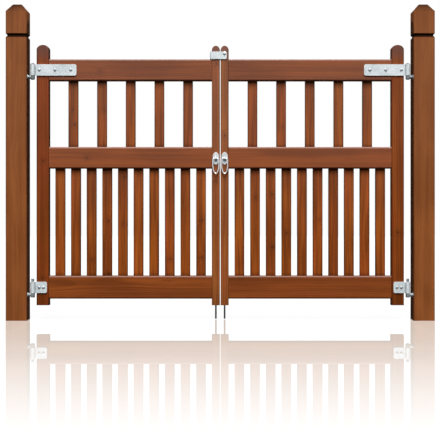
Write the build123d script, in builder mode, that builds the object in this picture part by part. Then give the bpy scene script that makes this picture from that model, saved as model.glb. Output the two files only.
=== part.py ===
from build123d import *
import math
import os

os.makedirs("parts", exist_ok=True)

# A pair of framed timber garden gates that hang between two posts. X runs across the opening, the front
# faces -Y and Z is up. The origin is on the ground in the middle of the opening. Lengths are millimetres.

# Posts
opening_width = 1810.0        # clear width between the two posts
post_side = 100.0
post_height = 1485.0
post_arris = 5.0              # rounding of the upright edges
head_bevel_width = 29.0       # bevel of the post's head, in from each side
head_bevel_height = 34.0
groove_below_top = 148.0      # top of the post to the middle of the V groove
groove_height = 19.0
groove_depth = 7.0

# Frame of each leaf
leaf_thickness = 45.0
ground_clearance = 70.0       # under the stiles
stile_length = 1225.0
closing_head_drop = 4.0       # closing stiles end this much lower
hanging_gap = 41.0            # post to hanging stile
meeting_gap = 3.5             # between the two closing stiles
hanging_stile_width = 59.0
closing_stile_width = 38.0
stile_head_rise = 23.0        # height of the rounded head
rail_height = 102.0
bottom_rail_height = 108.0
top_rail_below_head = 67.5    # top of the hanging stile to the top of the top rail
bottom_rail_above_foot = 30.5
lower_panel_height = 504.5    # between the bottom and the middle rail
stile_arris = 2.0
rail_arris = 8.0              # rounder, so that rain runs off

# Slats
upper_slat_count = 5
lower_slat_count = 10
slat_width = 46.0
slat_thickness = 20.0
slat_arris = 2.0
slat_tenon_shoulder = 4.0
slat_tenon_length = 18.0

# Joints in the timber
rail_tenon_thickness = 15.0
rail_tenon_shoulder = 12.0
closing_mortise_wall = 13.0   # timber left past the tenon in the closing stile
joint_clearance = 0.15

# Hooks in the posts
pin_radius = 7.0
pin_tip_rounding = 3.5
pin_from_post = 25.0
upper_pin_above_eye = 5.0
lower_pin_above_eye = 16.0    # longer, so that a leaf is dropped onto one pin at a time
hook_shoulder = 3.5           # seat for the eye, out from the pin
hook_boss_height = 20.0
hook_arm_below_seat = 8.0     # seat to the arm's axis
hook_boss_rounding = 5.0
hook_arm_radius = 7.5
hook_collar_rim = 4.0
hook_collar_thickness = 4.0
hook_shank_radius = 7.0
hook_shank_wall = 30.0        # timber left past the end of the shank
hook_point = 4.0

# Hinge bands
band_thickness = 4.5
band_height = 53.0
band_tip_radius = 9.0
upper_band_reach = 204.0      # pin to tip
lower_band_reach = 65.5
upper_band_screws = 3
upper_screw_pitch = 74.0
lower_band_screws = 2
lower_screw_pitch = 20.0
band_screw_inset = 13.0       # edge of the leaf to the first screw
roll_gap = 1.5                # slit where the rolled eye comes back to the strap
pin_clearance = 0.08
seat_clearance = 0.2          # under the eye

# Round-headed screws of the bands
round_head_radius = 7.5
round_head_height = 3.5
round_screw_radius = 3.5
round_screw_length = 32.0

# Countersunk screws of the small fittings
flat_head_radius = 3.6
flat_screw_radius = 1.9
flat_screw_length = 15.0
screw_clearance = 0.1

# Ring pulls
pull_below_middle = 3.0       # under the middle of the middle rail
plate_height = 61.0
plate_width = 29.5
plate_side = 18.0             # straight length of each side, between the curves to the points
plate_thickness = 3.0
plate_bevel = 0.8
plate_screw_offset = 20.0
pull_boss_radius = 6.5
pull_boss_wall = 3.0
pull_boss_rounding = 3.5
ring_bar_radius = 2.75
ring_width = 34.0             # over the bar
ring_drop = 74.0              # axis to the lowest point
ring_taper = 40.0             # height of the oval end, from the widest place to the lowest
ring_corner_radius = 7.5
ring_stand_off = 7.0          # plate to ring axis

# Drop bolts
bolt_radius = 4.3
bolt_ground_gap = 2.0
bolt_length = 430.0
bolt_tip_length = 66.0
bolt_tip_step = 0.25          # the tip is this much slimmer all round, to drop freely into its socket
bolt_tip_chamfer = 1.5
bolt_travel = 70.0
bolt_collar_radius = 7.5
bolt_collar_height = 10.0
bolt_clearance = 0.08
bolt_collar_gap = 0.3         # collar over the lower guide at rest
bolt_handle_radius = 4.5
bolt_handle_length = 34.0
bolt_handle_rounding = 2.0
stand_off_clearance = 1.0     # closing stile to collar
guide_width = 34.0
guide_height = 25.0
guide_plate_thickness = 3.0
guide_wall = 3.0
guide_screw_offset = 12.0
lower_guide_above_foot = 15.0

# Throw-over loop
loop_height = 35.0
loop_thickness = 3.5
loop_side_gap = 0.5           # stile to leg
loop_rest_gap = 0.4           # over the left top rail
loop_end_clearance = 2.4      # past the left stile's head, as the loop swings over it
loop_corner_radius = 6.0
loop_tail = 10.0              # bolt to the free end of a leg
loop_tail_rounding = 6.0
loop_bolt_below_top = 8.0
loop_bolt_radius = 4.0
loop_bolt_clearance = 0.08
loop_bolt_head_radius = 8.5
loop_bolt_head_height = 4.0
loop_head_gap = 0.3
loop_nut_width = 13.0
loop_nut_height = 6.5
loop_bolt_spare = 2.0         # thread past the nut

# Places of the right-hand side, worked out from the sizes
post_face = opening_width / 2
post_middle = post_face + post_side / 2
leaf_outer = post_face - hanging_gap
leaf_inner = meeting_gap / 2
panel_outer = leaf_outer - hanging_stile_width
panel_inner = leaf_inner + closing_stile_width
panel_width = panel_outer - panel_inner
closing_middle = leaf_inner + closing_stile_width / 2
leaf_front = -leaf_thickness / 2
leaf_back = leaf_thickness / 2

stile_foot = ground_clearance
stile_top = stile_foot + stile_length
closing_stile_top = stile_top - closing_head_drop
bottom_rail_foot = stile_foot + bottom_rail_above_foot
bottom_rail_top = bottom_rail_foot + bottom_rail_height
middle_rail_foot = bottom_rail_top + lower_panel_height
middle_rail_top = middle_rail_foot + rail_height
top_rail_top = stile_top - top_rail_below_head
top_rail_foot = top_rail_top - rail_height
rail_ends = [
    (bottom_rail_foot, bottom_rail_top),
    (middle_rail_foot, middle_rail_top),
    (top_rail_foot, top_rail_top),
]

hanging_mortise_wall = 2 * band_screw_inset
hanging_tenon = hanging_stile_width - hanging_mortise_wall
closing_tenon = closing_stile_width - closing_mortise_wall
slat_tenon_width = slat_width - 2 * slat_tenon_shoulder
slat_tenon_thickness = slat_thickness - 2 * slat_tenon_shoulder

eye_bore = pin_radius + pin_clearance
eye_radius = eye_bore + band_thickness
pin_x = post_face - pin_from_post
pin_y = leaf_front - eye_radius
upper_band_middle = (top_rail_foot + top_rail_top) / 2
lower_band_middle = (bottom_rail_foot + bottom_rail_top) / 2
hook_shank_length = post_side - hook_shank_wall
hook_drop = band_height / 2 + seat_clearance + hook_arm_below_seat    # middle of the band to the arm

pull_middle = (middle_rail_foot + middle_rail_top) / 2 - pull_below_middle
ring_y = leaf_front - plate_thickness - ring_stand_off

bolt_y = leaf_back + stand_off_clearance + bolt_collar_radius
bolt_collar_foot = stile_foot + lower_guide_above_foot + guide_height + bolt_collar_gap
guide_feet = [
    stile_foot + lower_guide_above_foot,
    bolt_collar_foot + bolt_collar_height + bolt_travel + bolt_collar_gap,
]

loop_foot = top_rail_top + loop_rest_gap
loop_bolt_z = loop_foot + loop_height - loop_bolt_below_top
loop_inside = leaf_back + loop_side_gap
loop_outside = loop_inside + loop_thickness


# The bolt's distance from the far side of the left stile's rounded head, all round that head
def loop_reach():
    head_foot = closing_stile_top - stile_head_rise - loop_bolt_z
    half_width = closing_stile_width / 2
    across = 2 * closing_middle
    corners = [math.radians(angle) for angle in range(0, 95, 5)]
    return max(
        math.hypot(across + half_width * math.cos(a), head_foot + stile_head_rise * math.sin(a))
        for a in corners
    )


loop_end = closing_middle - loop_reach() - loop_end_clearance


# Writes a finished piece under its name
def save(piece, name):
    piece.part.label = name
    export_step(piece.part, f"parts/{name}.step")


# Writes a right-hand piece and its mirror image on the left
def save_both(piece, name):
    save(piece, f"right_{name}")
    with BuildPart() as left:
        mirror(piece.part, about=Plane.YZ)
    save(left, f"left_{name}")


# A plane that faces the front at depth y, with X to the right and Z up
def front_plane(y):
    return Plane.XZ.offset(-y)


# Places for screws that point into the front or the back of a leaf, head outwards
def facing_front(x, y, z):
    return Location((x, y, z), (90, 0, 0))


def facing_back(x, y, z):
    return Location((x, y, z), (-90, 0, 0))


# A point half-way along the side of a round head, as its distance from the axis and its height
def dome_side(radius, height):
    ball_radius = (radius**2 + height**2) / (2 * height)
    half_angle = math.asin(radius / ball_radius) / 2
    return ball_radius * math.sin(half_angle), height - ball_radius * (1 - math.cos(half_angle))


# Middles of slats that share the panel's width evenly
def slat_middles(count):
    gap = (panel_width - count * slat_width) / (count + 1)
    return [panel_inner + gap + slat_width / 2 + i * (gap + slat_width) for i in range(count)]


# Screw places along a band, as X and Z
def band_screw_places(count, pitch, middle):
    return [(leaf_outer - band_screw_inset - i * pitch, middle) for i in range(count)]


upper_screws = band_screw_places(upper_band_screws, upper_screw_pitch, upper_band_middle)
lower_screws = band_screw_places(lower_band_screws, lower_screw_pitch, lower_band_middle)
plate_screws = [(closing_middle, pull_middle + s * plate_screw_offset) for s in (-1, 1)]
guide_screws = [
    (closing_middle + s * guide_screw_offset, foot + guide_height / 2)
    for foot in guide_feet
    for s in (-1, 1)
]


# Bores for the band screws in the front of a stile or rail
def bore_for_band_screws(places):
    with Locations(*[facing_front(x, leaf_front, z) for x, z in places]):
        Hole(round_screw_radius + screw_clearance, round_screw_length - band_thickness + joint_clearance)


# Mortises for all three rails in one edge of a stile, that reach from edge_x to end_x
def cut_rail_mortises(edge_x, end_x):
    for foot, top in rail_ends:
        with Locations(((edge_x + end_x) / 2, 0, (foot + top) / 2)):
            Box(
                abs(end_x - edge_x),
                rail_tenon_thickness + 2 * joint_clearance,
                top - foot - 2 * (rail_tenon_shoulder - joint_clearance),
                mode=Mode.SUBTRACT,
            )


# Stile with a rounded head and eased edges, before its mortises and bores
def make_stile(inner_x, outer_x, top):
    head_foot = top - stile_head_rise
    head_middle = ((inner_x + outer_x) / 2, head_foot)
    with BuildPart() as stile:
        with BuildSketch(front_plane(0)):
            with BuildLine():
                Polyline(
                    (inner_x, head_foot), (inner_x, stile_foot), (outer_x, stile_foot), (outer_x, head_foot)
                )
                EllipticalCenterArc(head_middle, (outer_x - inner_x) / 2, stile_head_rise, arc_size=180)
            make_face()
        extrude(amount=leaf_thickness / 2, both=True)
        fillet(stile.faces().filter_by(Axis.Y).edges(), radius=stile_arris)
    return stile


# Post: one shape through square sections, from the ground to the bevelled head
with BuildPart() as post:
    groove_middle = post_height - groove_below_top
    waist = post_side - 2 * groove_depth
    crown = post_side - 2 * head_bevel_width
    sections = [
        (0, post_side),
        (groove_middle - groove_height / 2, post_side),
        (groove_middle, waist),
        (groove_middle + groove_height / 2, post_side),
        (post_height - head_bevel_height, post_side),
        (post_height, crown),
    ]
    for height, side in sections:
        with BuildSketch(Plane.XY.offset(height)):
            with Locations((post_middle, 0)):
                RectangleRounded(side, side, post_arris)
    loft(ruled=True)
    with BuildSketch(Plane.YZ.offset(post_face)):
        with Locations((pin_y, upper_band_middle - hook_drop), (pin_y, lower_band_middle - hook_drop)):
            Circle(hook_shank_radius + joint_clearance)
    extrude(amount=hook_shank_length + joint_clearance, mode=Mode.SUBTRACT)
save_both(post, "post")


# Hooks: a threaded shank in the post, a collar against its face, an arm, and a pin on a seat for the eye
with BuildPart() as gate_hooks:
    for band_middle, pin_above in (
        (upper_band_middle, upper_pin_above_eye),
        (lower_band_middle, lower_pin_above_eye),
    ):
        seat = band_middle - band_height / 2 - seat_clearance
        arm_z = band_middle - hook_drop
        with BuildSketch(Plane.XY.offset(seat - hook_boss_height)):
            with Locations((pin_x, pin_y)):
                Circle(pin_radius + hook_shoulder)
        extrude(amount=hook_boss_height)
        fillet(gate_hooks.edges().group_by(Axis.Z)[0], radius=hook_boss_rounding)
        with BuildSketch(Plane.XY.offset(seat)):
            with Locations((pin_x, pin_y)):
                Circle(pin_radius)
        pin = extrude(amount=seat_clearance + band_height + pin_above)
        fillet(pin.edges().group_by(Axis.Z)[-1], radius=pin_tip_rounding)
        with BuildSketch(Plane.YZ.offset(pin_x)):
            with Locations((pin_y, arm_z)):
                Circle(hook_arm_radius)
        extrude(amount=pin_from_post)
        with BuildSketch(Plane.YZ.offset(post_face - hook_collar_thickness)):
            with Locations((pin_y, arm_z)):
                Circle(hook_arm_radius + hook_collar_rim)
        extrude(amount=hook_collar_thickness)
        with BuildSketch(Plane.YZ.offset(post_face)):
            with Locations((pin_y, arm_z)):
                Circle(hook_shank_radius)
        shank = extrude(amount=hook_shank_length)
        chamfer(shank.edges().group_by(Axis.X)[-1], length=hook_point)
save_both(gate_hooks, "gate_hooks")


# Hanging stile, with bores for the screws of both bands
wide_stile = make_stile(panel_outer, leaf_outer, stile_top)
with BuildPart() as hanging_stile:
    add(wide_stile.part)
    cut_rail_mortises(panel_outer, panel_outer + hanging_tenon + joint_clearance)
    bore_for_band_screws(upper_screws + lower_screws)
save_both(hanging_stile, "hanging_stile")


# Closing stile, with bores for the pull plate and the bolt guides
narrow_stile = make_stile(leaf_inner, panel_inner, closing_stile_top)
with BuildPart() as closing_stile:
    add(narrow_stile.part)
    cut_rail_mortises(panel_inner, panel_inner - closing_tenon - joint_clearance)
    with Locations(*[facing_front(x, leaf_front, z) for x, z in plate_screws]):
        Hole(flat_screw_radius + screw_clearance, flat_screw_length - plate_thickness + joint_clearance)
    with Locations(*[facing_back(x, leaf_back, z) for x, z in guide_screws]):
        Hole(flat_screw_radius + screw_clearance, flat_screw_length - guide_plate_thickness + joint_clearance)

with BuildPart() as left_closing_stile:
    mirror(closing_stile.part, about=Plane.YZ)
save(left_closing_stile, "left_closing_stile")

# The right closing stile also carries the bolt of the throw-over loop
with BuildPart() as right_closing_stile:
    add(closing_stile.part)
    with Locations(facing_front(closing_middle, leaf_front, loop_bolt_z)):
        Hole(loop_bolt_radius + loop_bolt_clearance, leaf_thickness)
save(right_closing_stile, "right_closing_stile")


# Rail with a tenon at each end, slat mortises below and above, and bores for band screws
def make_rail(foot, top, slats_below, slats_above, screws):
    middle = (foot + top) / 2
    with BuildPart() as rail:
        with BuildSketch(Plane.YZ.offset(panel_inner)):
            with Locations((0, middle)):
                Rectangle(leaf_thickness, top - foot)
        extrude(amount=panel_width)
        fillet(rail.edges().filter_by(Axis.X), radius=rail_arris)
        with BuildSketch(Plane.YZ.offset(panel_inner - closing_tenon)):
            with Locations((0, middle)):
                Rectangle(rail_tenon_thickness, top - foot - 2 * rail_tenon_shoulder)
        extrude(amount=closing_tenon + panel_width + hanging_tenon)
        mortise_depth = slat_tenon_length + joint_clearance
        edges_of_slats = [(foot + mortise_depth / 2, slats_below)]
        edges_of_slats.append((top - mortise_depth / 2, slats_above))
        for mortise_z, middles in edges_of_slats:
            for slat_x in middles:
                with Locations((slat_x, 0, mortise_z)):
                    Box(
                        slat_tenon_width + 2 * joint_clearance,
                        slat_tenon_thickness + 2 * joint_clearance,
                        mortise_depth,
                        mode=Mode.SUBTRACT,
                    )
        if screws:
            bore_for_band_screws(screws)
    return rail


upper_slats = slat_middles(upper_slat_count)
lower_slats = slat_middles(lower_slat_count)
save_both(make_rail(top_rail_foot, top_rail_top, upper_slats, [], upper_screws), "top_rail")
save_both(make_rail(middle_rail_foot, middle_rail_top, lower_slats, upper_slats, []), "middle_rail")
save_both(make_rail(bottom_rail_foot, bottom_rail_top, [], lower_slats, lower_screws), "bottom_rail")


# Slat between two rails, with a stub tenon at each end
def make_slat(middle_x, foot, head):
    with BuildPart() as slat:
        with BuildSketch(Plane.XY.offset(foot)):
            with Locations((middle_x, 0)):
                RectangleRounded(slat_width, slat_thickness, slat_arris)
        extrude(amount=head - foot)
        with BuildSketch(Plane.XY.offset(foot - slat_tenon_length)):
            with Locations((middle_x, 0)):
                Rectangle(slat_tenon_width, slat_tenon_thickness)
        extrude(amount=head - foot + 2 * slat_tenon_length)
    return slat


for number, slat_x in enumerate(upper_slats, start=1):
    save_both(make_slat(slat_x, middle_rail_top, top_rail_foot), f"upper_slat_{number}")
for number, slat_x in enumerate(lower_slats, start=1):
    save_both(make_slat(slat_x, bottom_rail_top, middle_rail_foot), f"lower_slat_{number}")


# Hinge band: a strap on the front of the leaf, rolled forward into an eye round the pin
def make_band(reach, middle, screws):
    strap_front = leaf_front - band_thickness
    with BuildPart() as band:
        with BuildSketch(Plane.XY.offset(middle - band_height / 2)):
            with Locations((pin_x, pin_y)):
                Circle(eye_radius)
            with Locations((pin_x - reach / 2, leaf_front - band_thickness / 2)):
                Rectangle(reach, band_thickness)
            with Locations((pin_x, pin_y)):
                Circle(eye_bore, mode=Mode.SUBTRACT)
            with Locations((pin_x - eye_radius / 2, strap_front - roll_gap / 2)):
                Rectangle(eye_radius, roll_gap, mode=Mode.SUBTRACT)
        extrude(amount=band_height)
        fillet(band.edges().filter_by(Axis.Y).group_by(Axis.X)[0], radius=band_tip_radius)
        with Locations(*[facing_front(x, strap_front, z) for x, z in screws]):
            Hole(round_screw_radius + screw_clearance, band_thickness)
    return band


save_both(make_band(upper_band_reach, upper_band_middle, upper_screws), "upper_band")
save_both(make_band(lower_band_reach, lower_band_middle, lower_screws), "lower_band")


# Pull plate: a pointed oval with a rounded boss that the ring hangs in
with BuildPart() as pull_plate:
    with BuildSketch(front_plane(leaf_front)):
        with BuildLine():
            for s in (-1, 1):
                side_x = closing_middle + s * plate_width / 2
                Line((side_x, pull_middle - plate_side / 2), (side_x, pull_middle + plate_side / 2))
                for up in (-1, 1):
                    shoulder = (side_x, pull_middle + up * plate_side / 2)
                    point = (closing_middle, pull_middle + up * plate_height / 2)
                    TangentArc(shoulder, point, tangent=(0, up))
        make_face()
    extrude(amount=plate_thickness)
    chamfer(pull_plate.faces().sort_by(Axis.Y)[0].edges(), length=plate_bevel)
    with BuildSketch(front_plane(leaf_front - plate_thickness)):
        with Locations((closing_middle, pull_middle)):
            Circle(pull_boss_radius)
    extrude(amount=ring_stand_off + ring_bar_radius + pull_boss_wall)
    fillet(pull_plate.edges().group_by(Axis.Y)[0], radius=pull_boss_rounding)
    with BuildSketch(Plane.YZ.offset(closing_middle)):
        with Locations((ring_y, pull_middle)):
            Circle(ring_bar_radius + pin_clearance)
    extrude(amount=pull_boss_radius, both=True, mode=Mode.SUBTRACT)
    with Locations(*[facing_front(x, leaf_front - plate_thickness, z) for x, z in plate_screws]):
        CounterSinkHole(
            flat_screw_radius + screw_clearance,
            flat_head_radius + screw_clearance,
            plate_thickness,
            counter_sink_angle=90,
        )
save_both(pull_plate, "pull_plate")


# Pull ring: one bent bar, straight across its top, where it turns in the boss, and oval below
with BuildPart() as pull_ring:
    half = ring_width / 2 - ring_bar_radius
    lowest = ring_bar_radius - ring_drop
    ring_plane = Plane(origin=(closing_middle, ring_y, pull_middle), x_dir=(1, 0, 0), z_dir=(0, -1, 0))
    with BuildLine(ring_plane) as half_ring:
        across = Line((0, 0), (half - ring_corner_radius, 0))
        corner = JernArc(across @ 1, across % 1, radius=ring_corner_radius, arc_size=-90)
        Line(corner @ 1, (half, lowest + ring_taper))
        EllipticalCenterArc((0, lowest + ring_taper), half, ring_taper, start_angle=0, arc_size=-90)
    with BuildSketch(Plane.YZ.offset(closing_middle)):
        with Locations((ring_y, pull_middle)):
            Circle(ring_bar_radius)
    sweep(path=half_ring.wire())
    mirror(about=Plane.YZ.offset(closing_middle))
save_both(pull_ring, "pull_ring")


# Drop bolt: a rod with a slimmer tip, a stop collar and a cross handle, behind the closing stile
with BuildPart() as drop_bolt:
    with BuildSketch(Plane.XY.offset(bolt_ground_gap)):
        with Locations((closing_middle, bolt_y)):
            Circle(bolt_radius - bolt_tip_step)
    extrude(amount=bolt_tip_length)
    chamfer(drop_bolt.edges().group_by(Axis.Z)[0], length=bolt_tip_chamfer)
    with BuildSketch(Plane.XY.offset(bolt_ground_gap + bolt_tip_length)):
        with Locations((closing_middle, bolt_y)):
            Circle(bolt_radius)
    extrude(amount=bolt_length - bolt_tip_length)
    with BuildSketch(Plane.XY.offset(bolt_collar_foot)):
        with Locations((closing_middle, bolt_y)):
            Circle(bolt_collar_radius)
    extrude(amount=bolt_collar_height)
    with BuildSketch(Plane.YZ.offset(closing_middle)):
        with Locations((bolt_y, bolt_ground_gap + bolt_length)):
            Circle(bolt_handle_radius)
    handle = extrude(amount=bolt_handle_length / 2, both=True)
    handle_ends = handle.edges().filter_by(GeomType.CIRCLE).group_by(Axis.X)
    fillet(handle_ends[0] + handle_ends[-1], radius=bolt_handle_rounding)
save_both(drop_bolt, "drop_bolt")


# Guides: two plates on the back of the closing stile, each with a tunnel for the bolt
with BuildPart() as bolt_guides:
    tunnel = bolt_radius + bolt_clearance
    for foot in guide_feet:
        with BuildSketch(Plane.XY.offset(foot)):
            with Locations((closing_middle, leaf_back + guide_plate_thickness / 2)):
                Rectangle(guide_width, guide_plate_thickness)
            with Locations((closing_middle, (leaf_back + bolt_y) / 2)):
                Rectangle(2 * (tunnel + guide_wall), bolt_y - leaf_back)
            with Locations((closing_middle, bolt_y)):
                Circle(tunnel + guide_wall)
                Circle(tunnel, mode=Mode.SUBTRACT)
        extrude(amount=guide_height)
    with Locations(*[facing_back(x, leaf_back + guide_plate_thickness, z) for x, z in guide_screws]):
        CounterSinkHole(
            flat_screw_radius + screw_clearance,
            flat_head_radius + screw_clearance,
            guide_plate_thickness,
            counter_sink_angle=90,
        )
save_both(bolt_guides, "bolt_guides")


# Throw-over loop: a flat bar bent round the heads of both closing stiles, open where it turns on its bolt
with BuildPart() as throw_over_loop:
    tail_end = closing_middle + loop_tail
    with BuildSketch(Plane.XY.offset(loop_foot)):
        with BuildLine():
            FilletPolyline(
                (tail_end, -loop_outside),
                (loop_end - loop_thickness, -loop_outside),
                (loop_end - loop_thickness, loop_outside),
                (tail_end, loop_outside),
                radius=loop_corner_radius,
            )
            Line((tail_end, loop_outside), (tail_end, loop_inside))
            FilletPolyline(
                (tail_end, loop_inside),
                (loop_end, loop_inside),
                (loop_end, -loop_inside),
                (tail_end, -loop_inside),
                radius=loop_corner_radius - loop_thickness,
            )
            Line((tail_end, -loop_inside), (tail_end, -loop_outside))
        make_face()
    extrude(amount=loop_height)
    fillet(throw_over_loop.edges().filter_by(Axis.Y).group_by(Axis.X)[-1], radius=loop_tail_rounding)
    with Locations(facing_front(closing_middle, -loop_outside, loop_bolt_z)):
        Hole(loop_bolt_radius + loop_bolt_clearance, 2 * loop_outside)
save(throw_over_loop, "throw_over_loop")


# Bolt of the loop with its nut, along Y through the loop's legs and the right closing stile
with BuildPart() as loop_bolt:
    head_seat = -loop_outside - loop_head_gap
    nut_seat = loop_outside + loop_head_gap
    with BuildSketch(Plane.YZ.offset(closing_middle)):
        with BuildLine():
            tip = nut_seat + loop_nut_height + loop_bolt_spare
            Polyline(
                (head_seat - loop_bolt_head_height, loop_bolt_z),
                (tip, loop_bolt_z),
                (tip, loop_bolt_z + loop_bolt_radius),
                (head_seat, loop_bolt_z + loop_bolt_radius),
                (head_seat, loop_bolt_z + loop_bolt_head_radius),
            )
            side_radius, side_height = dome_side(loop_bolt_head_radius, loop_bolt_head_height)
            ThreePointArc(
                (head_seat, loop_bolt_z + loop_bolt_head_radius),
                (head_seat - side_height, loop_bolt_z + side_radius),
                (head_seat - loop_bolt_head_height, loop_bolt_z),
            )
        make_face()
    bolt_axis = Axis((closing_middle, 0, loop_bolt_z), (0, 1, 0))
    revolve(axis=bolt_axis)
    with BuildSketch(front_plane(nut_seat)):
        with Locations((closing_middle, loop_bolt_z)):
            RegularPolygon(loop_nut_width / 2, 6, major_radius=False)
            Circle(loop_bolt_radius + joint_clearance, mode=Mode.SUBTRACT)
    extrude(amount=-loop_nut_height)
save(loop_bolt, "loop_bolt_and_nut")


# Round-headed screw of the bands, at the origin with its head up
with BuildPart() as round_screw:
    with BuildSketch(Plane.XZ):
        with BuildLine():
            Polyline(
                (0, round_head_height),
                (0, -round_screw_length),
                (round_screw_radius, round_screw_radius - round_screw_length),
                (round_screw_radius, 0),
                (round_head_radius, 0),
            )
            ThreePointArc(
                (round_head_radius, 0),
                dome_side(round_head_radius, round_head_height),
                (0, round_head_height),
            )
        make_face()
    revolve(axis=Axis.Z)

# Countersunk screw, at the origin with the top of its head up
with BuildPart() as flat_screw:
    head_depth = flat_head_radius - flat_screw_radius
    with BuildSketch(Plane.XZ):
        with BuildLine():
            Polyline(
                (0, 0),
                (0, -flat_screw_length),
                (flat_screw_radius, flat_screw_radius - flat_screw_length),
                (flat_screw_radius, -head_depth),
                (flat_head_radius, 0),
                close=True,
            )
        make_face()
    revolve(axis=Axis.Z)

# All screws of one leaf: in its bands, its pull plate and its bolt guides
with BuildPart() as leaf_screws:
    band_screws = upper_screws + lower_screws
    with Locations(*[facing_front(x, leaf_front - band_thickness, z) for x, z in band_screws]):
        add(round_screw.part)
    with Locations(*[facing_front(x, leaf_front - plate_thickness, z) for x, z in plate_screws]):
        add(flat_screw.part)
    with Locations(*[facing_back(x, leaf_back + guide_plate_thickness, z) for x, z in guide_screws]):
        add(flat_screw.part)
save_both(leaf_screws, "leaf_screws")
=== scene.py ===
# %% [markdown]
# # A pair of garden gates, dressed
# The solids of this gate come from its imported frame: two posts, two framed leaves, and the fittings that
# they hang and close on. Their shapes are right already, so Blender's work here is looks. The lesson sets
# up a camera and a studio, makes stained timber, dipped zinc, plated zinc and dark steel, and models the
# screws and the bolt of the loop again with the detail that a fastener has.

import math

import bpy
from mathutils import Matrix, Vector


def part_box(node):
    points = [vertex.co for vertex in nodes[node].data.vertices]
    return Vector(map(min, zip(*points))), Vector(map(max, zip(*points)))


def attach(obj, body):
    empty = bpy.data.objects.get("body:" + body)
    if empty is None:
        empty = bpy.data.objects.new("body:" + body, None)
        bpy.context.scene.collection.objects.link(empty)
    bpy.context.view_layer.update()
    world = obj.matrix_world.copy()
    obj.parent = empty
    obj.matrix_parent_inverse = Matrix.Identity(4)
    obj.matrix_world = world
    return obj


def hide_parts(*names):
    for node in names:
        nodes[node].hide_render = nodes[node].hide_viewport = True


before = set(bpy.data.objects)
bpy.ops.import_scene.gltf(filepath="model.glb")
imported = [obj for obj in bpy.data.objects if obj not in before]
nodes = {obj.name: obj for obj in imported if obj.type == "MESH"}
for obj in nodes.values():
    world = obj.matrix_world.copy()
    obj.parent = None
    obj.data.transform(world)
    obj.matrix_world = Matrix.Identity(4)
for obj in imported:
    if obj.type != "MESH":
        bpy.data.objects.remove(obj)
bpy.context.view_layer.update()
scene = bpy.context.scene
scene.view_settings.view_transform = "Standard"

# %% [markdown]
# ## Camera
# The picture looks at the gate from its middle with a level camera: upright edges stay parallel, and the
# inner sides of both posts show equally. A camera could be tilted down to frame the gate, but tilting
# makes uprights converge. Shifting the lens keeps them parallel, as an architect's camera does. The
# camera's height follows from the horizon, where receding edges look flat, and its distance from how
# little larger the posts' front is drawn than the leaves behind it.

# %% Set up the level camera
photo_side = 440.0
photo_middle = 220.25
metre_per_pixel = 0.00468
horizon_row = 196.0
ground_row = 320.8
camera_distance = 5.75
sensor = 36.0

posts_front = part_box("left_post")[0].y
camera_height = (ground_row - horizon_row) * metre_per_pixel
bpy.ops.object.select_all(action="DESELECT")
bpy.ops.object.camera_add(
    location=(0, posts_front - camera_distance, camera_height), rotation=(math.radians(90), 0, 0)
)
camera = bpy.context.object
camera.name = "camera"
camera.data.sensor_width = sensor
camera.data.lens = sensor * camera_distance / (photo_side * metre_per_pixel)
camera.data.shift_x = (photo_side / 2 - photo_middle) / photo_side
camera.data.shift_y = (horizon_row - photo_side / 2) / photo_side
scene.camera = camera
print("lens", round(camera.data.lens, 1), "mm at height", round(camera_height, 3), "m")


# %% [markdown]
# ## Node helpers
# Every finish below is a node tree. Written out in full, a tree is mostly lines that make a node and join
# two sockets. A few helpers, each for one kind of node, leave the recipe of the finish readable. Each
# takes sockets or plain numbers, so steps can be nested as in arithmetic.

# %% Helpers that calculate
def join(tree, value, socket):
    if isinstance(value, bpy.types.NodeSocket):
        tree.links.new(value, socket)
    else:
        socket.default_value = value


def calculate(tree, operation, first, second=0.0):
    step = tree.nodes.new("ShaderNodeMath")
    step.operation = operation
    join(tree, first, step.inputs[0])
    join(tree, second, step.inputs[1])
    return step.outputs[0]


def plus(tree, first, second):
    return calculate(tree, "ADD", first, second)


def minus(tree, first, second):
    return calculate(tree, "SUBTRACT", first, second)


def times(tree, first, second):
    return calculate(tree, "MULTIPLY", first, second)


def larger(tree, first, second):
    return calculate(tree, "MAXIMUM", first, second)


def smaller(tree, first, second):
    return calculate(tree, "MINIMUM", first, second)


def fade(tree, value, start, end, low=0.0, high=1.0):
    step = tree.nodes.new("ShaderNodeMapRange")
    step.interpolation_type = "SMOOTHSTEP"
    for number, entry in enumerate((value, start, end, low, high)):
        join(tree, entry, step.inputs[number])
    return step.outputs["Result"]


def combine(tree, x, y, z):
    step = tree.nodes.new("ShaderNodeCombineXYZ")
    for number, entry in enumerate((x, y, z)):
        join(tree, entry, step.inputs[number])
    return step.outputs["Vector"]


def separate(tree, value, kind="XYZ"):
    step = tree.nodes.new("ShaderNodeSeparate" + kind)
    join(tree, value, step.inputs[0])
    return step.outputs[0], step.outputs[1], step.outputs[2]


def vector_length(tree, vector):
    step = tree.nodes.new("ShaderNodeVectorMath")
    step.operation = "LENGTH"
    join(tree, vector, step.inputs[0])
    return step.outputs["Value"]


print("calculating helpers ready")


# %% Helpers that colour and shape a surface
def object_place(tree):
    return tree.nodes.new("ShaderNodeTexCoord").outputs["Object"]


def stretch(tree, place, scale):
    step = tree.nodes.new("ShaderNodeVectorMath")
    step.operation = "MULTIPLY"
    join(tree, place, step.inputs[0])
    step.inputs[1].default_value = scale
    return step.outputs["Vector"]


def noise(tree, place, scale, detail=2.0):
    step = tree.nodes.new("ShaderNodeTexNoise")
    join(tree, stretch(tree, place, scale), step.inputs["Vector"])
    step.inputs["Scale"].default_value = 1.0
    step.inputs["Detail"].default_value = detail
    return step.outputs["Fac"]


def mix_colours(tree, amount, first, second, mode="MIX"):
    step = tree.nodes.new("ShaderNodeMix")
    step.data_type = "RGBA"
    step.blend_type = mode
    join(tree, amount, step.inputs["Factor"])
    join(tree, first, step.inputs[6])
    join(tree, second, step.inputs[7])
    return step.outputs[2]


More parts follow.
